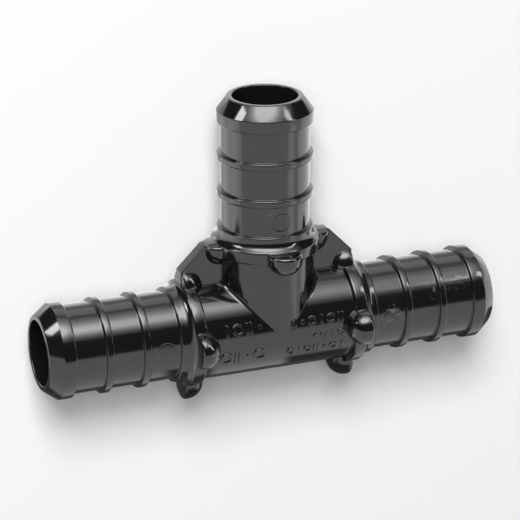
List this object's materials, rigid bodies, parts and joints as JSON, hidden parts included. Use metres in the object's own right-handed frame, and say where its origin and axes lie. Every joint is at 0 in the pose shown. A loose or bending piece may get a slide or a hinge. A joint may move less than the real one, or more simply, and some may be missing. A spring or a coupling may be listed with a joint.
{
  "type": "crimp tee fitting",
  "caption": "Moulded plastic tee that branches a PEX water line: barbed spigots push into the tubes and crimp rings clamp them.",
  "frame": {"origin": "crossing of the run's axis and the branch's axis", "axes": "+X along the run, +Y along the branch towards its nose, +Z out of the front face with the raised marks"},
  "size_m": [0.0598, 0.039, 0.0182],
  "materials": {
    "black_plastic": "gloss black, as moulded"
  },
  "bodies": {
    "root": {"tee_body": "black_plastic"}
  },
  "joints": []
}
